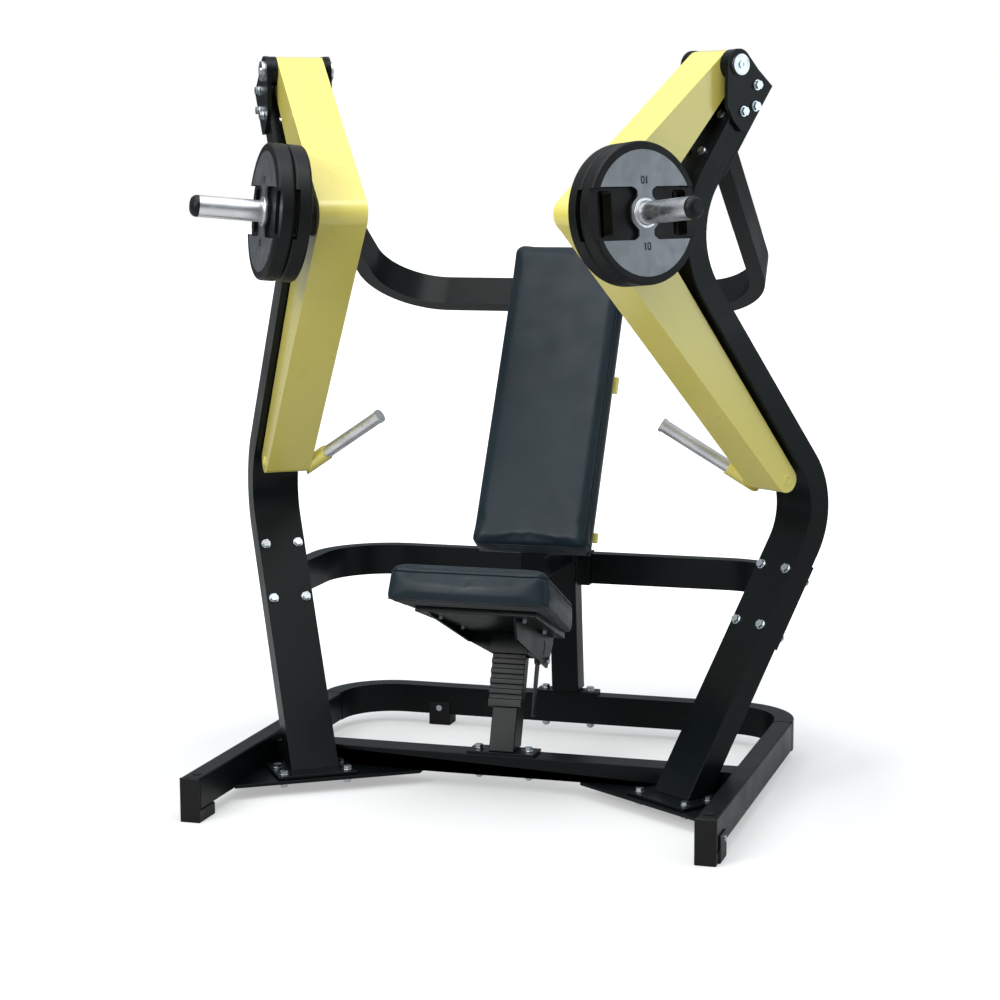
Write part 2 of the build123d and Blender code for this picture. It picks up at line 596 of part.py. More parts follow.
def post_and_rack():
    plane = seat_side()
    low = -340.0
    high = -34.0
    front = POST_T - POST_HALF
    back = POST_T + POST_HALF
    outer = face_of([(front, low), (back, low), (back, high), (front, high)])
    outer = slab(outer, plane, -POST_HALF, POST_HALF)
    inner = face_of([(front + WALL, low), (back - WALL, low), (back - WALL, high + 10),
                     (front + WALL, high + 10)])
    inner = slab(inner, plane, WALL - POST_HALF, POST_HALF - WALL)
    ground = block(-200, 200, -300, 300, -100, CROSS_HIGH + 8)
    parts["seat_post"] = outer - inner - ground
    rack = face_of([(front - RACK_DEEP, -198), (front, -198), (front, -40), (front - RACK_DEEP, -40)])
    rack = slab(rack, plane, -RACK_HALF, RACK_HALF)
    for index in range(5):
        top = -66 - index * 25
        notch = face_of([(front - RACK_DEEP - 1, top), (front - 4, top), (front - 4, top - 12),
                         (front - RACK_DEEP - 1, top - 12)])
        rack -= slab(notch, plane, -60, 60)
    parts["post_rack"] = rack


def seat():
    plane = seat_side()
    clear = 1.0
    front = POST_T - POST_HALF - RACK_DEEP - clear
    back = POST_T + POST_HALF + clear
    side = RACK_HALF + clear
    wall = 5.0
    outer = face_of([(front - wall, -66), (back + wall, -66), (back + wall, -14), (front - wall, -14)])
    hole = face_of([(front, -200), (back, -200), (back, -20), (front, -20)])
    sleeve = slab(outer, plane, -side - wall, side + wall) - slab(hole, plane, -side, side)
    stem_half = POST_HALF - WALL - clear
    stem = slab(face_of([(POST_T - stem_half, -190), (POST_T + stem_half, -190), (POST_T + stem_half, -17),
                         (POST_T - stem_half, -17)]), plane, -stem_half, stem_half)
    bore = stem_half - 3
    stem -= slab(face_of([(POST_T - bore, -200), (POST_T + bore, -200), (POST_T + bore, -24),
                          (POST_T - bore, -24)]), plane, -bore, bore)
    parts["seat_sleeve"] = sleeve + stem
    plate = face_of([(-150, 92), (150, 92), (124, 456), (-124, 456)])
    parts["seat_plate"] = extrude(seat_level(-14) * plate, 14)
    wing = slab(face_of([(104, -14), (436, -14), (436, -38), (104, -20)]), plane, -118, -112)
    across = face_of([(-112, -14), (-112, -38), (-side - wall, -66), (-side - wall, -14)])
    sloped = Plane(origin=SEAT_FRONT + SEAT_ALONG * 430, x_dir=(1, 0, 0), z_dir=SEAT_ALONG * -1)
    wing += slab(across, sloped, -6, 0)
    cheek = slab(face_of([(104, -14), (454, -14), (454, -30), (424, -94), (140, -62)]), plane, 90, 96)
    cheek -= slab(Pos(POST_T - 66, -50) * Rectangle(7, 34), plane, 80, 110)
    lever_seat = Vector(96, 0, 0) + SEAT_FRONT + SEAT_ALONG * (POST_T - 36) - SEAT_NORMAL * 76
    tie = slab(face_of([(front + 20, -48), (back - 20, -48), (back - 20, -20), (front + 20, -20)]), plane,
               side + wall, 90)
    cheek = cut_holes(cheek, [lever_seat], Vector(1, 0, 0), 4) + tie
    parts["seat_bracket"] = Compound(children=wing.solids() + cheek.solids())
    axis = Vector(-1, 0, 0)
    pin = rod(lever_seat - axis * 8, axis, 38, 4) + rod(lever_seat - axis * 8, axis, 6, 8)
    parts["lever_pin"] = pin
    blade = rod(lever_seat + axis * 16, axis, 12, 13)
    along = POST_T - 36
    bar = face_of([(along - 11, -76), (along - 7, -194), (along + 7, -194), (along + 11, -76)])
    blade += slab(bar, plane, lever_seat.X - 25, lever_seat.X - 19)
    parts["seat_lever"] = blade - rod(lever_seat, axis, 60, 4.05)
    parts["lever_knob"] = rod(lever_seat + axis * 22 - SEAT_NORMAL * 118, -SEAT_NORMAL, 22, 7)
    under = SEAT_FRONT - SEAT_NORMAL * 14
    seats = [under + Vector(x, 0, 0) + SEAT_ALONG * t for x in (-104, 104) for t in (150, 330)]
    parts["seat_bolts"] = Compound(children=[bolt(seat, SEAT_NORMAL, 26, 4, nut=False) for seat in seats])
    parts["seat_plate"] = cut_holes(parts["seat_plate"], seats, SEAT_NORMAL, 4.2)
    rim = 16
    board = face_of([(-SEAT_HALF_FRONT + rim, rim), (SEAT_HALF_FRONT - rim, rim),
                     (SEAT_HALF_BACK - rim, SEAT_LENGTH - rim), (-SEAT_HALF_BACK + rim, SEAT_LENGTH - rim)],
                    [16, 16, 16, 16])
    board = extrude(seat_level(0) * board, 14)
    parts["seat_board"] = cut_holes(board, seats, SEAT_NORMAL, 4.2)
    pad = face_of([(-SEAT_HALF_FRONT, 0), (SEAT_HALF_FRONT, 0), (SEAT_HALF_BACK, SEAT_LENGTH),
                   (-SEAT_HALF_BACK, SEAT_LENGTH)], [26, 26, 26, 26])
    parts["seat_pad"] = extrude(seat_level(0) * pad, 98) - board


def seat_level(height):
    """Plane parallel to the seat, height above its underside, local y along the seat."""
    return Plane(origin=SEAT_FRONT + SEAT_NORMAL * height, x_dir=(1, 0, 0), z_dir=SEAT_NORMAL)


def seat_side():
    """Plane of a seat section: local x along the seat, local y along its normal."""
    return Plane(origin=SEAT_FRONT, x_dir=SEAT_ALONG, z_dir=SEAT_ALONG.cross(SEAT_NORMAL))


def back_side():
    """Plane of a backrest section: local x up the backrest, local y into its depth."""
    return Plane(origin=BACK_FOOT, x_dir=BACK_ALONG, z_dir=BACK_ALONG.cross(BACK_NORMAL))


def back_slab(along, deep, half):
    """Box behind the backrest's front face, from its own coordinates."""
    sheet = face_of([(along[0], deep[0]), (along[1], deep[0]), (along[1], deep[1]), (along[0], deep[1])])
    return slab(sheet, back_side(), -half, half)


def backrest(loop_outer):
    parts["back_pad"] = back_slab((0, BACK_LENGTH), (0, PAD_DEEP), BACK_HALF)
    parts["back_board"] = back_slab((6, BACK_LENGTH - 6), (PAD_DEEP, BOARD_BACK), BACK_HALF - 6)
    beam_floor = block(-200, 200, -100, 900, 0, BEAM_HIGH)
    spine = back_slab((0, 690), (BOARD_BACK, BOARD_BACK + 40), 30)
    spine -= back_slab((-60, 686), (BOARD_BACK + WALL, BOARD_BACK + 40 - WALL), 30 - WALL)
    parts["back_spine"] = spine - beam_floor
    parts["back_mount"] = back_slab((690, 802), (BOARD_BACK, BOARD_BACK + 12), 110) - loop_outer
    tabs = []
    for along, size in ((452, 44), (40, 24)):
        sheet = face_of([(along, PAD_DEEP + 4), (along + size, PAD_DEEP + 4), (along + size, PAD_DEEP + 12),
                         (along, PAD_DEEP + 12)])
        tabs.append(slab(sheet, back_side(), -BACK_HALF - 9, 6 - BACK_HALF))
    pair("back_tabs", Compound(children=tabs))


base_frame()
OUTER = uprights()
cross_and_gussets(OUTER)
pivots()
arm()
LOOP_OUTER = loops()
mid_loop()
column_and_beam()
post_and_rack()
seat()
backrest(LOOP_OUTER)

for name, solids in groups.items():
    parts[name] = Compound(children=solids)

os.makedirs("parts", exist_ok=True)
whole = None
for name, solid in parts.items():
    moved = [Pos(0, SHIFT_Y, 0) * piece for piece in solid.solids()]
    solid = moved[0] if len(moved) == 1 else Compound(children=moved)
    export_step(solid, "parts/" + name + ".step")
    box = solid.bounding_box(optimal=True)
    whole = box if whole is None else whole.add(box)
print(len(parts), "nodes", whole.min, whole.max)
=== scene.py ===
import json
import math

import bmesh
import bpy
from mathutils import Matrix, Vector
from mathutils.bvhtree import BVHTree

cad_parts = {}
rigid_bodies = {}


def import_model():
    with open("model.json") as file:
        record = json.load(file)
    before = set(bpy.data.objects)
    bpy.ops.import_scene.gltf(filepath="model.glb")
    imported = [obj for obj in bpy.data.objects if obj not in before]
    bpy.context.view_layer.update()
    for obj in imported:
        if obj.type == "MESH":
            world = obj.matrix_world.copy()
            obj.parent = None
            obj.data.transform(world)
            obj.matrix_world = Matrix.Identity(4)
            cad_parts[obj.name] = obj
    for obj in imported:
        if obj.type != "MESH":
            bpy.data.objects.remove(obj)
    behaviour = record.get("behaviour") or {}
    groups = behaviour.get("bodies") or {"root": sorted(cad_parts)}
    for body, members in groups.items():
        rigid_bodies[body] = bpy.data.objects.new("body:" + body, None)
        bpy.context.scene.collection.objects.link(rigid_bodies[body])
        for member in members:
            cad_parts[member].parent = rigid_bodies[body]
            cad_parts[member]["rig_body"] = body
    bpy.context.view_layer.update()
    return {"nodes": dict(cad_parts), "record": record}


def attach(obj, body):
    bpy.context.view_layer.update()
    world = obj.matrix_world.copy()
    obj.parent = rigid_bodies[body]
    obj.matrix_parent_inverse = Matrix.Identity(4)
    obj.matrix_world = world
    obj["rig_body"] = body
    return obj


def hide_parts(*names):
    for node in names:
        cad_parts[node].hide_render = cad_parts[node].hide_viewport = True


# Chest press machine in metres. X runs across, the user faces -Y, Z is up, floor at z = 0.
# Each side's upright and arm lie in a plane toed in by TOE, where a point is (u, s, z):
# u across that plane, s backwards and outwards along it.

TOE = math.radians(35.0)
U_DIR = Vector((math.cos(TOE), -math.sin(TOE), 0.0))
S_DIR = Vector((math.sin(TOE), math.cos(TOE), 0.0))
UP = Vector((0.0, 0.0, 1.0))
SHIFT_Y = -0.1375

CAMERA_PLACE = Vector((1.6711, -5.5736, 1.5600))
CAMERA_AZIMUTH = math.radians(17.005)
CAMERA_ELEVATION = math.radians(8.344)
CAMERA_ROLL = math.radians(-0.207)
CAMERA_LENS = 85.86

HORN_TILT = math.radians(5.3)
HORN_DIR = U_DIR * math.cos(HORN_TILT) + UP * math.sin(HORN_TILT)
HORN_ROOT_U = 0.452
HORN_S = -0.028
HORN_Z = 1.413
PLATE_THICK = 0.040
PLATE_STARTS = {"inner": 0.037, "outer": 0.0773}

STEEL_EDGE = 0.006
TUBE_EDGE = 0.004
SHEET_EDGE = 0.0015
SHORTEST_EDGE_RUN = 0.12
SHORTEST_SHEET_RUN = 0.06

# Light powers in watts. Sky colours run from straight down, 0, to straight up, 1.
KEY_POWER = 110.0
SIDE_POWER = 22.0
TOP_POWER = 85.0
COOL_WHITE = (0.85, 0.95, 1.0)
SKY_STOPS = [
    (0.45, (0.05, 0.055, 0.06)),
    (0.56, (0.12, 0.13, 0.14)),
    (0.8, (0.62, 0.67, 0.7)),
    (1.0, (0.95, 0.98, 1.0)),
]

# The floor glows dimmer under the object, a painted shade beneath it, and as 1 beyond FLOOR_FADE.
FLOOR_HALF = 40.0
FLOOR_PAINTED_SHADE = 0.4
FLOOR_FADE = (0.9, 2.2)

# Cushion simulation: voxel size, air pressure, frames, and how far a point may move.
VOXEL = 0.006
PAD_PRESSURE = 4.0
PAD_FRAMES = 15
PAD_TRAVEL = 0.005
SEAM_WIDTH = 0.004
SEAM_DEPTH = 0.0018
WELT_RADIUS = 0.0013

# Rows of a pad's side and of its rolled edge, and how much lower it starts for the swelling.
PAD_ROWS = 6
SWELL_ROOM = 0.004

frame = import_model()
nodes = frame["nodes"]


def place(u, s, z):
    """World point of (u, s, z) on the +X side."""
    return U_DIR * u + S_DIR * s + UP * z + Vector((0.0, SHIFT_Y, 0.0))


# ---------------------------------------------------------------- camera, light, floor


def make_camera():
    data = bpy.data.cameras.new("camera")
    data.lens = CAMERA_LENS
    data.sensor_width = 36.0
    camera = bpy.data.objects.new("camera", data)
    bpy.context.scene.collection.objects.link(camera)
    turn = Matrix.Rotation(CAMERA_AZIMUTH, 4, "Z")
    tilt = Matrix.Rotation(math.radians(90.0) - CAMERA_ELEVATION, 4, "X")
    roll = Matrix.Rotation(CAMERA_ROLL, 4, "Z")
    camera.matrix_world = Matrix.Translation(CAMERA_PLACE) @ turn @ tilt @ roll
    bpy.context.scene.camera = camera


def area_light(name, place_at, target, size, power, colour=(1.0, 1.0, 1.0)):
    data = bpy.data.lights.new(name, "AREA")
    data.shape = "RECTANGLE"
    data.size, data.size_y = size
    data.energy = power
    data.color = colour
    light = bpy.data.objects.new(name, data)
    bpy.context.scene.collection.objects.link(light)
    light.location = place_at
    aim = Vector(target) - Vector(place_at)
    light.rotation_euler = aim.to_track_quat("-Z", "Y").to_euler()
    light.visible_camera = False


def make_light():
    """Soft studio: a bright ceiling, a dim horizon, and a white backdrop behind the object."""
    world = bpy.data.worlds.new("studio")
    world.use_nodes = True
    tree = world.node_tree
    dome = tree.nodes["Background"]
    where = node(tree, "ShaderNodeTexCoord")
    split = node(tree, "ShaderNodeSeparateXYZ")
    tree.links.new(where.outputs["Generated"], split.inputs["Vector"])
    height = node(tree, "ShaderNodeMapRange")
    height.inputs["From Min"].default_value = -1.0
    tree.links.new(split.outputs["Z"], height.inputs["Value"])
    sky = ramp(tree, height.outputs["Result"], SKY_STOPS)
    tree.links.new(sky, dome.inputs["Color"])
    dome.inputs["Strength"].default_value = 1.0
    backdrop = node(tree, "ShaderNodeBackground")
    backdrop.inputs["Color"].default_value = (1.0, 1.0, 1.0, 1.0)
    seen = node(tree, "ShaderNodeLightPath")
    mix = node(tree, "ShaderNodeMixShader")
    tree.links.new(seen.outputs["Is Camera Ray"], mix.inputs["Fac"])
    tree.links.new(dome.outputs["Background"], mix.inputs[1])
    tree.links.new(backdrop.outputs["Background"], mix.inputs[2])
    tree.links.new(mix.outputs["Shader"], tree.nodes["World Output"].inputs["Surface"])
    bpy.context.scene.world = world
    area_light("key", (-1.8, -4.2, 3.0), (0.0, 0.0, 0.9), (1.8, 1.8), KEY_POWER)
    area_light("side", (4.4, 0.6, 1.8), (0.3, 0.0, 0.9), (1.6, 2.4), SIDE_POWER, COOL_WHITE)
    area_light("top", (0.0, -1.2, 4.4), (0.0, 0.0, 0.8), (3.0, 3.0), TOP_POWER)
    bpy.context.scene.view_settings.view_transform = "Standard"


def make_floor():
    """Pale floor with a painted shade under the object, brightening to white away from it."""
    mesh = bpy.data.meshes.new("floor")
    corners = [(x * FLOOR_HALF, y * FLOOR_HALF, 0.0) for x, y in ((-1, -1), (1, -1), (1, 1), (-1, 1))]
    mesh.from_pydata(corners, [], [(0, 1, 2, 3)])
    floor = bpy.data.objects.new("floor", mesh)
    bpy.context.scene.collection.objects.link(floor)
    material, tree, shader = new_tree("floor_white_painted_shade")
    shader.inputs["Base Color"].default_value = (0.55, 0.55, 0.55, 1.0)
    shader.inputs["Roughness"].default_value = 0.9
    shader.inputs["Specular IOR Level"].default_value = 0.1
    where = node(tree, "ShaderNodeTexCoord")
    distance = node(tree, "ShaderNodeVectorMath", operation="LENGTH")
    tree.links.new(where.outputs["Object"], distance.inputs[0])
    spread = node(tree, "ShaderNodeMapRange")
    spread.inputs["From Min"].default_value, spread.inputs["From Max"].default_value = FLOOR_FADE
    tree.links.new(distance.outputs["Value"], spread.inputs["Value"])
    # The glow is dimmer near the object, which paints shade under it, and white further out.
    painted_shade_glow = ramp(tree, spread.outputs["Result"], [(0.0, (FLOOR_PAINTED_SHADE,) * 3), (1.0, (1.0,) * 3)])
    seen = node(tree, "ShaderNodeLightPath")
    tree.links.new(painted_shade_glow, shader.inputs["Emission Color"])
    tree.links.new(seen.outputs["Is Camera Ray"], shader.inputs["Emission Strength"])
    floor.data.materials.append(material)


# ---------------------------------------------------------------- materials


def new_tree(name):
    material = bpy.data.materials.new(name)
    material.use_nodes = True
    tree = material.node_tree
    return material, tree, tree.nodes["Principled BSDF"]


def node(tree, kind, **values):
    made = tree.nodes.new(kind)
    for key, value in values.items():
        setattr(made, key, value)
    return made


def noise_of(tree, scale, detail=3.0, stretch=None):
    """Object-space noise, stretched by the given factors."""
    where = node(tree, "ShaderNodeTexCoord")
    texture = node(tree, "ShaderNodeTexNoise")
    texture.inputs["Scale"].default_value = scale
    texture.inputs["Detail"].default_value = detail
    source = where.outputs["Object"]
    if stretch:
        mapping = node(tree, "ShaderNodeMapping")
        mapping.inputs["Scale"].default_value = stretch
        tree.links.new(source, mapping.inputs["Vector"])
        source = mapping.outputs["Vector"]
    tree.links.new(source, texture.inputs["Vector"])
    return texture


def ramp(tree, source, stops):
    """Colour ramp from a value; stops are (position, colour)."""
    made = node(tree, "ShaderNodeValToRGB")
    elements = made.color_ramp.elements
    while len(elements) < len(stops):
        elements.new(0.5)
    for element, (position, colour) in zip(elements, stops):
        element.position = position
        element.color = (*colour, 1.0)
    tree.links.new(source, made.inputs["Fac"])
    return made.outputs["Color"]


def bump(tree, shader, height, distance, strength=1.0):
    made = node(tree, "ShaderNodeBump")
    made.inputs["Distance"].default_value = distance
    made.inputs["Strength"].default_value = strength
    tree.links.new(height, made.inputs["Height"])
    tree.links.new(made.outputs["Normal"], shader.inputs["Normal"])
    return made


def varied(tree, shader, colour, spread, scale):
    """Base colour that drifts slightly between darker and lighter."""
    low = [channel * (1.0 - spread) for channel in colour]
    high = [min(1.0, channel * (1.0 + spread)) for channel in colour]
    drift = noise_of(tree, scale)
    shade = ramp(tree, drift.outputs["Fac"], [(0.35, low), (0.65, high)])
    tree.links.new(shade, shader.inputs["Base Color"])


def rough_range(tree, shader, low, high, scale, stretch=None):
    drift = noise_of(tree, scale, stretch=stretch)
    grey = ramp(tree, drift.outputs["Fac"], [(0.3, (low,) * 3), (0.7, (high,) * 3)])
    tree.links.new(grey, shader.inputs["Roughness"])


def powder_coat(name, colour, spread, rough, coat=0.25, gloss=0.5):
    material, tree, shader = new_tree(name)
    varied(tree, shader, colour, spread, 3.0)
    rough_range(tree, shader, rough - 0.05, rough + 0.06, 9.0)
    shader.inputs["Specular IOR Level"].default_value = gloss
    shader.inputs["Coat Weight"].default_value = coat
    shader.inputs["Coat Roughness"].default_value = 0.18
    peel = noise_of(tree, 420.0, 2.0)
    bump(tree, shader, peel.outputs["Fac"], 0.00004, 0.6)
    return material


def metal(name, colour, rough, stretch=None, scale=60.0):
    material, tree, shader = new_tree(name)
    varied(tree, shader, colour, 0.08, scale * 0.2)
    shader.inputs["Metallic"].default_value = 1.0
    rough_range(tree, shader, rough - 0.07, rough + 0.08, scale, stretch)
    scratch = noise_of(tree, scale * 6.0, 2.0, stretch)
    bump(tree, shader, scratch.outputs["Fac"], 0.00003, 0.5)
    return material


def moulded(name, colour, rough, grain, depth):
    material, tree, shader = new_tree(name)
    shader.inputs["Specular IOR Level"].default_value = 0.25
    varied(tree, shader, colour, 0.15, 8.0)
    rough_range(tree, shader, rough - 0.06, rough + 0.06, 25.0)
    pebble = noise_of(tree, grain, 3.0)
    bump(tree, shader, pebble.outputs["Fac"], depth, 0.7)
    return material


def vinyl(name, colour):
    """Grained upholstery vinyl: voronoi pebbles with a soft sheen."""
    material, tree, shader = new_tree(name)
    varied(tree, shader, colour, 0.12, 6.0)
    rough_range(tree, shader, 0.36, 0.5, 14.0)
    shader.inputs["Sheen Weight"].default_value = 0.05
    shader.inputs["Specular IOR Level"].default_value = 0.3
    shader.inputs["Sheen Roughness"].default_value = 0.4
    where = node(tree, "ShaderNodeTexCoord")
    pebbles = node(tree, "ShaderNodeTexVoronoi")
    pebbles.inputs["Scale"].default_value = 520.0
    tree.links.new(where.outputs["Object"], pebbles.inputs["Vector"])
    fold = noise_of(tree, 18.0, 4.0)
    total = node(tree, "ShaderNodeMath", operation="MULTIPLY_ADD")
    total.inputs[1].default_value = 0.35
    tree.links.new(pebbles.outputs["Distance"], total.inputs[0])
    tree.links.new(fold.outputs["Fac"], total.inputs[2])
    bump(tree, shader, total.outputs["Value"], 0.0006, 0.35)
    return material


def knurled(name, colour, rough):
    """Diamond knurling: two crossed sets of fine bands."""
    material, tree, shader = new_tree(name)
    varied(tree, shader, colour, 0.1, 20.0)
    shader.inputs["Metallic"].default_value = 1.0
    rough_range(tree, shader, rough - 0.05, rough + 0.08, 60.0)
    where = node(tree, "ShaderNodeTexCoord")
    heights = []
    for flip in (1.0, -1.0):
        mapping = node(tree, "ShaderNodeMapping")
        mapping.inputs["Scale"].default_value = (flip, 1.0, 1.0)
        tree.links.new(where.outputs["Object"], mapping.inputs["Vector"])
        bands = node(tree, "ShaderNodeTexWave", bands_direction="DIAGONAL")
        bands.inputs["Scale"].default_value = 150.0
        tree.links.new(mapping.outputs["Vector"], bands.inputs["Vector"])
        heights.append(bands.outputs["Fac"])
    both = node(tree, "ShaderNodeMath", operation="MULTIPLY")
    tree.links.new(heights[0], both.inputs[0])
    tree.links.new(heights[1], both.inputs[1])
    bump(tree, shader, both.outputs["Value"], 0.0004, 0.8)
    return material


BLACK = powder_coat("black_steel", (0.0025, 0.0042, 0.0048), 0.2, 0.32, coat=0.04, gloss=0.16)
YELLOW = powder_coat("yellow_steel", (0.77, 0.67, 0.15), 0.02, 0.32, coat=0.9)
ZINC = metal("zinc", (0.62, 0.66, 0.70), 0.25)
SILVER = metal("silver_steel", (0.88, 0.88, 0.90), 0.3, scale=30.0)
SATIN = metal("light_steel", (0.72, 0.73, 0.75), 0.34)
PLATE_STEEL = metal("plate_steel", (0.27, 0.285, 0.30), 0.45, scale=40.0)
PLATE_RUBBER = moulded("plate_rubber", (0.003, 0.0035, 0.004), 0.45, 320.0, 0.00012)
PLASTIC = moulded("black_plastic", (0.006, 0.006, 0.0065), 0.42, 500.0, 0.00006)
RUBBER = moulded("black_rubber", (0.012, 0.012, 0.013), 0.6, 380.0, 0.0001)
VINYL = vinyl("pad_vinyl", (0.004, 0.014, 0.021))
KNURL = knurled("knurled_steel", (0.80, 0.80, 0.82), 0.32)
BACKING = moulded("backing_cloth", (0.05, 0.054, 0.056), 0.8, 700.0, 0.0001)
INK = moulded("stamped_black", (0.02, 0.02, 0.02), 0.5, 300.0, 0.00003)

SLOT_MATERIALS = {
    "black_steel": BLACK,
    "yellow_steel": YELLOW,
    "zinc": ZINC,
    "silver_steel": SILVER,
    "light_steel": SATIN,
    "knurled_steel": KNURL,
    "plate_rubber": PLATE_RUBBER,
    "plate_steel": PLATE_STEEL,
    "pad_vinyl": VINYL,
    "black_plastic": PLASTIC,
    "black_rubber": RUBBER,
}


def node_slots():
    return {entry["node"]: entry["material_slot"] for entry in frame["record"]["subparts"]}


def dress_cad():
    """Gives every CAD node its procedural material."""
    for name, slot in node_slots().items():
        mesh = nodes[name].data
        mesh.materials.clear()
        mesh.materials.append(SLOT_MATERIALS[slot])


# ---------------------------------------------------------------- steel with rounded edges


def outer_shells(mesh):
    """Drops the closed inner faces of hollow tubes, which nothing shows."""
    mesh.faces.ensure_lookup_table()
    seen = set()
    shells = []
    for start in mesh.faces:
        if start.index in seen:
            continue
        stack = [start]
        seen.add(start.index)
        shell = []
        while stack:
            face = stack.pop()
            shell.append(face)
            for edge in face.edges:
                for other in edge.link_faces:
                    if other.index not in seen:
                        seen.add(other.index)
                        stack.append(other)
        shells.append(shell)
    inner = []
    for shell in shells:
        volume = sum(f.calc_center_median().dot(f.normal) * f.calc_area() for f in shell)
        if volume < 0:
            inner.extend(shell)
    bmesh.ops.delete(mesh, geom=inner, context="FACES")


def sharp_runs(mesh, angle):
    """Connected runs of sharp edges, each a list of edges."""
    sharp = {e for e in mesh.edges if len(e.link_faces) == 2 and e.calc_face_angle(0.0) > angle}
    runs = []
    while sharp:
        first = sharp.pop()
        run = [first]
        stack = [first]
        while stack:
            edge = stack.pop()
            for vertex in edge.verts:
                for other in vertex.link_edges:
                    if other in sharp:
                        sharp.remove(other)
                        run.append(other)
                        stack.append(other)
        runs.append(run)
    return runs


def rounded(name, width=STEEL_EDGE, smallest=SHORTEST_EDGE_RUN):
    """A copy of a CAD node with its outer edges rounded, standing in for the node."""
    source = nodes[name]
    mesh = bmesh.new()
    mesh.from_mesh(source.data)
    bmesh.ops.remove_doubles(mesh, verts=mesh.verts, dist=1e-5)
    bmesh.ops.recalc_face_normals(mesh, faces=mesh.faces)
    outer_shells(mesh)
    bmesh.ops.dissolve_limit(mesh, angle_limit=math.radians(0.6), verts=mesh.verts, edges=mesh.edges)
    layers = mesh.edges.layers.float
    weight = layers.get("bevel_weight_edge") or layers.new("bevel_weight_edge")
    for run in sharp_runs(mesh, math.radians(28.0)):
        if sum(e.calc_length() for e in run) > smallest:
            for edge in run:
                edge[weight] = 1.0
    made = bpy.data.meshes.new(name + "_rounded")
    mesh.to_mesh(made)
    mesh.free()
    made.materials.append(SLOT_MATERIALS[node_slots()[name]])
    piece = bpy.data.objects.new(name + "_rounded", made)
    bpy.context.scene.collection.objects.link(piece)
    bevel = piece.modifiers.new("edge", "BEVEL")
    bevel.limit_method = "WEIGHT"
    bevel.width = width
    bevel.segments = 3
    bevel.use_clamp_overlap = True
    made.shade_smooth()
    smooth = piece.modifiers.new("normals", "WEIGHTED_NORMAL")
    smooth.keep_sharp = True
    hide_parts(name)
    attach(piece, source["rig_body"])
    return piece


# ---------------------------------------------------------------- plates and arm details


def own_piece(name, mesh, material, body):
    mesh.materials.clear()
    mesh.materials.append(material)
    piece = bpy.data.objects.new(name, mesh)
    bpy.context.scene.collection.objects.link(piece)
    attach(piece, body)
    return piece


def lathe(name, origin, axis, profile, segments=64):
    """A closed ring from (radius, height) points turned about axis through origin."""
    axis = axis.normalized()
    first = axis.orthogonal().normalized()
    second = axis.cross(first)
    mesh = bmesh.new()
    rows = []
    for index in range(segments):
        angle = 2.0 * math.pi * index / segments
        out = first * math.cos(angle) + second * math.sin(angle)
        places = [origin + out * radius + axis * height for radius, height in profile]
        rows.append([mesh.verts.new(at) for at in places])
    for index in range(segments):
        here = rows[index]
        beside = rows[(index + 1) % segments]
        for low in range(len(profile)):
            high = (low + 1) % len(profile)
            mesh.faces.new((here[low], beside[low], beside[high], here[high]))
    bmesh.ops.recalc_face_normals(mesh, faces=mesh.faces)
    made = bpy.data.meshes.new(name)
    mesh.to_mesh(made)
    mesh.free()
    made.shade_smooth()
    return made


def ring_profile(inner, outer, low, high, edge):
    """Ring section with its two visible corners rounded."""
    points = [(inner, low), (outer, low)]
    for step in range(4):
        angle = math.pi / 2.0 * step / 3.0
        points.append((outer - edge + edge * math.cos(angle), high - edge + edge * math.sin(angle)))
    for step in range(4):
        angle = math.pi / 2.0 * step / 3.0
        points.append((inner + edge - edge * math.sin(angle), high - edge + edge * math.cos(angle)))
    return points


def mirrored(vector, side):
    return Vector((vector.x * side, vector.y, vector.z))


def digits(height, scale):
    """Outlines of the number 10, drawn in millimetres, at a height on the plate's face."""
    one = [(-8.5, -8.5), (-5.0, -8.5), (-5.0, 8.5), (-7.5, 8.5), (-9.8, 6.0), (-9.8, 4.2), (-8.5, 5.0)]
    outer = [(-1.0, -6.0), (1.5, -8.5), (7.0, -8.5), (9.5, -6.0)]
    outer += [(9.5, 6.0), (7.0, 8.5), (1.5, 8.5), (-1.0, 6.0)]
    inner = [(2.0, -5.0), (3.0, -5.8), (5.5, -5.8), (6.5, -5.0)]
    inner += [(6.5, 5.0), (5.5, 5.8), (3.0, 5.8), (2.0, 5.0)]
    return [[(x * scale, height + y * scale) for x, y in outline] for outline in (one, outer, inner)]


def plate_face(side, start):
    """Centre of a plate's outer face, its outward axis and its upward direction."""
    axis = mirrored(HORN_DIR, side)
    root = mirrored(place(HORN_ROOT_U, HORN_S, HORN_Z), side)
    upward = (UP - axis * UP.dot(axis)).normalized()
    return root + axis * (start + PLATE_THICK), axis, upward


def make_numbers(side_name, side, plate, start):
    """A plate's printed number, once below its bore and once above it, turned half round."""
    centre, axis, upward = plate_face(side, start)
    across = upward.cross(axis)
    data = bpy.data.curves.new("number", "CURVE")
    data.dimensions = "2D"
    data.fill_mode = "BOTH"
    data.extrude = 0.0002
    for scale, height in ((0.001, -0.072), (-0.001, 0.072)):
        for outline in digits(height, scale):
            line = data.splines.new("POLY")
            line.points.add(len(outline) - 1)
            for spot, (x, y) in zip(line.points, outline):
                spot.co = (x, y, 0.0, 1.0)
            line.use_cyclic_u = True
    flat = bpy.data.objects.new("number", data)
    bpy.context.scene.collection.objects.link(flat)
    graph = bpy.context.evaluated_depsgraph_get()
    mesh = bpy.data.meshes.new_from_object(flat.evaluated_get(graph))
    bpy.data.objects.remove(flat)
    for vertex in mesh.vertices:
        x, y, z = vertex.co
        vertex.co = centre + across * x + upward * y + axis * (z + 0.0002)
    body = side_name + "_" + plate + "_plate"
    own_piece(body + "_number", mesh, INK, body)


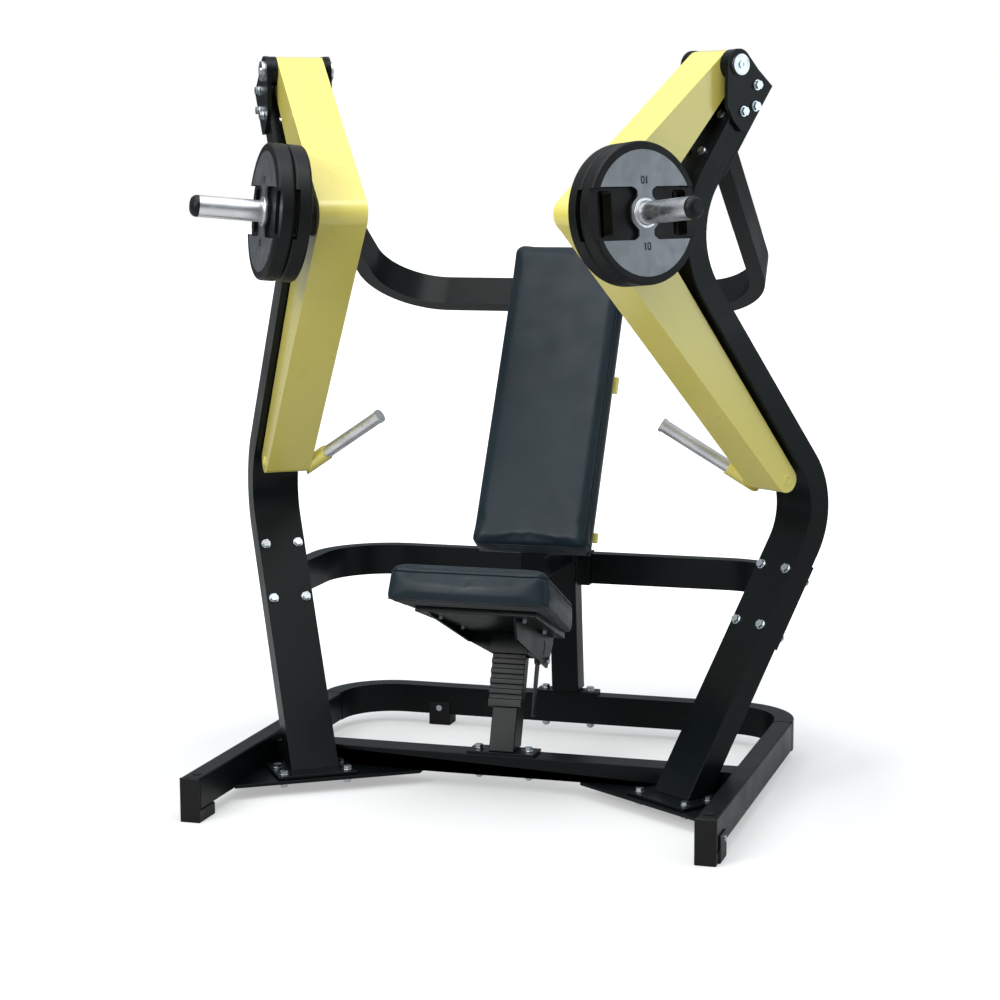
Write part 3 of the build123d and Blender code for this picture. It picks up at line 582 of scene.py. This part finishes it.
def make_hub_ring(side_name, side, plate, start):
    """Raised ring round the bore of a plate's outer face."""
    centre, axis, _ = plate_face(side, start)
    body = side_name + "_" + plate + "_plate"
    mesh = lathe(body + "_hub_ring", centre, axis, ring_profile(0.0262, 0.0335, -0.002, 0.0022, 0.0018))
    own_piece(body + "_hub_ring", mesh, SATIN, body)


def make_end_ring(side_name, side):
    """Raised ring round the handle's end on the arm's outer cheek."""
    origin = mirrored(place(0.452, 0.530, 0.776), side)
    profile = ring_profile(0.0075, 0.0125, -0.001, 0.0025, 0.0012)
    mesh = lathe("end_ring", origin, mirrored(U_DIR, side), profile)
    own_piece(side_name + "_end_ring", mesh, YELLOW, side_name + "_arm_body")


def make_plate_details():
    for side_name, side in (("right", 1.0), ("left", -1.0)):
        for plate, start in PLATE_STARTS.items():
            make_numbers(side_name, side, plate, start)
        make_hub_ring(side_name, side, "outer", PLATE_STARTS["outer"])
        make_end_ring(side_name, side)


# ---------------------------------------------------------------- cushions


class Local:
    """A flat frame for a pad: x across, y along it, z out of its visible face."""

    def __init__(self, origin, along, out):
        self.origin = Vector(origin)
        self.across = along.cross(out)
        self.along = along
        self.out = out

    def point(self, x, y, z):
        return self.origin + self.across * x + self.along * y + self.out * z

    def flat(self, at):
        offset = at - self.origin
        return Vector((offset.dot(self.across), offset.dot(self.along), offset.dot(self.out)))


def rounded_outline(corners, radii, step=0.006):
    """Closed outline through the corners, each rounded by its radius, evenly spaced."""
    points = []
    count = len(corners)
    for index in range(count):
        here = Vector(corners[index])
        before = (Vector(corners[index - 1]) - here).normalized()
        after = (Vector(corners[(index + 1) % count]) - here).normalized()
        half = before.angle(after) / 2.0
        reach = radii[index] / math.tan(half)
        centre = here + (before + after).normalized() * (radii[index] / math.sin(half))
        start = here + before * reach - centre
        end = here + after * reach - centre
        swing = start.angle_signed(end)
        steps = max(4, int(abs(swing) * radii[index] / step))
        for turn in range(steps + 1):
            angle = -swing * turn / steps
            rotated = Vector((start.x * math.cos(angle) - start.y * math.sin(angle),
                              start.x * math.sin(angle) + start.y * math.cos(angle)))
            points.append(centre + rotated)
    return respaced(points, step)


def respaced(points, step):
    """The closed polyline through points, resampled at an even spacing."""
    lengths = [(points[(i + 1) % len(points)] - points[i]).length for i in range(len(points))]
    total = sum(lengths)
    count = max(8, int(total / step))
    made = []
    index = 0
    walked = 0.0
    for number in range(count):
        goal = total * number / count
        while walked + lengths[index] < goal:
            walked += lengths[index]
            index += 1
        share = (goal - walked) / lengths[index]
        made.append(points[index].lerp(points[(index + 1) % len(points)], share))
    return made


def loft(name, local, rings):
    """Closed shell through rings of points, the first and last ring capped."""
    mesh = bmesh.new()
    rows = [[mesh.verts.new(local.point(p.x, p.y, z)) for p in ring] for ring, z in rings]
    for low, high in zip(rows, rows[1:]):
        for index in range(len(low)):
            following = (index + 1) % len(low)
            mesh.faces.new((low[index], low[following], high[following], high[index]))
    mesh.faces.new(rows[0][::-1])
    mesh.faces.new(rows[-1])
    bmesh.ops.recalc_face_normals(mesh, faces=mesh.faces)
    made = bpy.data.meshes.new(name)
    mesh.to_mesh(made)
    mesh.free()
    piece = bpy.data.objects.new(name, made)
    bpy.context.scene.collection.objects.link(piece)
    return piece


def bake(piece):
    """Replaces a piece's mesh by what its modifiers make of it."""
    graph = bpy.context.evaluated_depsgraph_get()
    made = bpy.data.meshes.new_from_object(piece.evaluated_get(graph))
    piece.modifiers.clear()
    piece.data = made


def swell(piece, local, hold):
    """Inflates a remeshed pad as tight cloth. What lies below hold along local z stays put."""
    remesh = piece.modifiers.new("voxels", "REMESH")
    remesh.mode = "VOXEL"
    remesh.voxel_size = VOXEL
    bake(piece)
    rest = [vertex.co.copy() for vertex in piece.data.vertices]
    pinned = piece.vertex_groups.new(name="held")
    for vertex in piece.data.vertices:
        height = local.flat(vertex.co).z
        if height < hold:
            pinned.add([vertex.index], 1.0, "REPLACE")
    cloth = piece.modifiers.new("cloth", "CLOTH")
    cloth.settings.quality = 5
    cloth.settings.mass = 0.3
    cloth.settings.tension_stiffness = 25.0
    cloth.settings.compression_stiffness = 25.0
    cloth.settings.shear_stiffness = 8.0
    cloth.settings.bending_stiffness = 0.8
    cloth.settings.use_pressure = True
    cloth.settings.uniform_pressure_force = PAD_PRESSURE
    cloth.settings.effector_weights.gravity = 0.0
    cloth.settings.vertex_group_mass = "held"
    scene = bpy.context.scene
    for number in range(1, PAD_FRAMES + 1):
        scene.frame_set(number)
    bake(piece)
    scene.frame_set(1)
    for vertex, start in zip(piece.data.vertices, rest):
        moved = vertex.co - start
        if moved.length > PAD_TRAVEL:
            vertex.co = start + moved * (PAD_TRAVEL / moved.length)


def soften(piece):
    smooth = piece.modifiers.new("smooth", "SMOOTH")
    smooth.factor = 0.5
    smooth.iterations = 6
    bake(piece)


def surface_of(piece):
    corners = [vertex.co for vertex in piece.data.vertices]
    faces = [polygon.vertices for polygon in piece.data.polygons]
    return BVHTree.FromPolygons(corners, faces)


def on_surface(tree, points):
    return [tree.find_nearest(point)[0] for point in points]


def press_seam(piece, path):
    """Pulls the mesh in along a seam."""
    tree = BVHTree.FromPolygons(*ribbon(path))
    normals = [vertex.normal.copy() for vertex in piece.data.vertices]
    for vertex, normal in zip(piece.data.vertices, normals):
        near = tree.find_nearest(vertex.co, SEAM_WIDTH * 3.0)
        if near[0] is None:
            continue
        share = math.exp(-((near[3] / SEAM_WIDTH) ** 2))
        vertex.co -= normal * SEAM_DEPTH * share


def ribbon(path):
    """Thin triangles along a closed path, for nearest-point queries."""
    corners = []
    faces = []
    for index, point in enumerate(path):
        following = path[(index + 1) % len(path)]
        start = len(corners)
        corners += [point, following, (point + following) / 2.0 + Vector((0.0, 0.0, 1e-5))]
        faces.append((start, start + 1, start + 2))
    return corners, faces


def thread(name, path, radius, material):
    """A fine tube along a closed path."""
    data = bpy.data.curves.new(name, "CURVE")
    data.dimensions = "3D"
    data.bevel_depth = radius
    data.bevel_resolution = 2
    line = data.splines.new("POLY")
    line.points.add(len(path) - 1)
    for spot, point in zip(line.points, path):
        spot.co = (*point, 1.0)
    line.use_cyclic_u = True
    data.materials.append(material)
    piece = bpy.data.objects.new(name, data)
    bpy.context.scene.collection.objects.link(piece)
    return piece


def finish_pad(piece, cad_node, body):
    piece.data.materials.clear()
    piece.data.materials.append(VINYL)
    piece.data.shade_smooth()
    subdivide = piece.modifiers.new("fine", "SUBSURF")
    subdivide.levels = 1
    subdivide.render_levels = 1
    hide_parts(cad_node)
    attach(piece, body)


def subdivided(piece):
    fine = piece.modifiers.new("fine", "SUBSURF")
    fine.levels = 1
    bake(piece)


def make_pad(name, cad_node, body, local, outlines, heights, roll, seam_height, crown):
    """A tight upholstered pad: lofted outline, rolled upper edge, swollen, with a welted seam."""
    low_outline, high_outline = outlines
    low, high = heights
    rings = []
    roll_share = roll / (high - low)
    for step in range(PAD_ROWS + 1):
        share = step / PAD_ROWS
        outline = blend_outline(low_outline, high_outline, share * (1.0 - roll_share))
        rings.append((outline, low + (high - roll - low) * share))
    for step in range(1, PAD_ROWS + 1):
        angle = math.pi / 2.0 * step / PAD_ROWS
        share = 1.0 - roll_share * (1.0 - math.sin(angle))
        outline = inset_outline(blend_outline(low_outline, high_outline, share), roll * (1.0 - math.cos(angle)))
        rings.append((outline, high - roll + (roll - SWELL_ROOM) * math.sin(angle)))
    piece = loft(name, local, rings)
    swell(piece, local, low + 0.004)
    raise_crown(piece, local, low_outline, heights, crown)
    soften(piece)
    subdivided(piece)
    tree = surface_of(piece)
    share = (seam_height - low) / (high - low)
    guide = blend_outline(low_outline, high_outline, share)
    seam = on_surface(tree, [local.point(p.x, p.y, seam_height) for p in guide])
    press_seam(piece, seam)
    finish_pad(piece, cad_node, body)
    welt = thread(name + "_seam", seam, WELT_RADIUS, VINYL)
    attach(welt, body)
    return piece


def raise_crown(piece, local, outline, heights, crown):
    """Domes the upper half of a pad, highest at its middle."""
    half_width = max(point.x for point in outline)
    start = min(point.y for point in outline)
    length = max(point.y for point in outline) - start
    low, high = heights
    for vertex in piece.data.vertices:
        at = local.flat(vertex.co)
        across = min(1.0, abs(at.x) / half_width)
        along = min(1.0, abs((at.y - start) / length * 2.0 - 1.0))
        lift = (1.0 - across ** 3) * (1.0 - along ** 4) * max(0.0, (at.z - low) / (high - low)) ** 2
        vertex.co += local.out * crown * lift


def blend_outline(low, high, share):
    return [a.lerp(b, share) for a, b in zip(low, high)]


def inset_outline(outline, inset):
    """The outline moved inwards by inset."""
    made = []
    for index, point in enumerate(outline):
        tangent = outline[(index + 1) % len(outline)] - outline[index - 1]
        normal = Vector((-tangent.y, tangent.x)).normalized()
        made.append(point + normal * inset)
    return made


SEAT_TILT = math.radians(19.1)
SEAT_ALONG = Vector((0.0, math.cos(SEAT_TILT), -math.sin(SEAT_TILT)))
SEAT_OUT = Vector((0.0, math.sin(SEAT_TILT), math.cos(SEAT_TILT)))
SEAT_FRONT = Vector((0.0, -0.260 + SHIFT_Y, 0.522))
SEAT_LENGTH = 0.464
RECLINE = math.radians(29.0)
BACK_ALONG = Vector((0.0, math.sin(RECLINE), math.cos(RECLINE)))
BACK_OUT = Vector((0.0, -math.cos(RECLINE), math.sin(RECLINE)))
BACK_FOOT = Vector((0.0, 0.254 + SHIFT_Y, 0.576))
BACK_LENGTH = 0.850


def seat_outline(front, back, start, end):
    corners = [(-front, start), (front, start), (back, end), (-back, end)]
    return rounded_outline(corners, [0.024] * 4)


def make_seat_pad():
    local = Local(SEAT_FRONT, SEAT_ALONG, SEAT_OUT)
    low = seat_outline(0.202, 0.140, 0.001, SEAT_LENGTH)
    high = seat_outline(0.197, 0.138, -0.004, SEAT_LENGTH + 0.006)
    heights = (0.0010, 0.086)
    make_pad("seat_cushion", "seat_pad", "seat", local, (low, high), heights, 0.016, 0.070, 0.006)


def make_back_pad():
    origin = BACK_FOOT - BACK_OUT * 0.066
    local = Local(origin, BACK_ALONG, BACK_OUT)
    corners = [(-0.153, 0.0), (0.153, 0.0), (0.153, BACK_LENGTH), (-0.153, BACK_LENGTH)]
    outline = rounded_outline(corners, [0.022] * 4)
    heights = (0.0005, 0.062)
    make_pad("back_cushion", "back_pad", "frame", local, (outline, outline), heights, 0.016, 0.046, 0.002)


dress_cad()
make_camera()
make_light()
make_floor()

for steel in ("right_upright", "left_upright", "rear_bow", "side_rails", "upper_loop", "mid_tubes",
              "front_cross_member", "rear_column", "right_arm", "left_arm"):
    rounded(steel)
for steel in ("seat_post", "back_beam", "back_spine", "front_feet", "rear_feet"):
    rounded(steel, TUBE_EDGE)
for steel in ("pivot_plates", "foot_plates", "joint_plates", "column_brackets", "seat_bracket",
              "seat_sleeve", "seat_plate", "post_rack", "back_mount", "gussets"):
    rounded(steel, SHEET_EDGE, SHORTEST_SHEET_RUN)
nodes["seat_board"].data.materials[0] = BACKING
make_plate_details()

make_seat_pad()
make_back_pad()
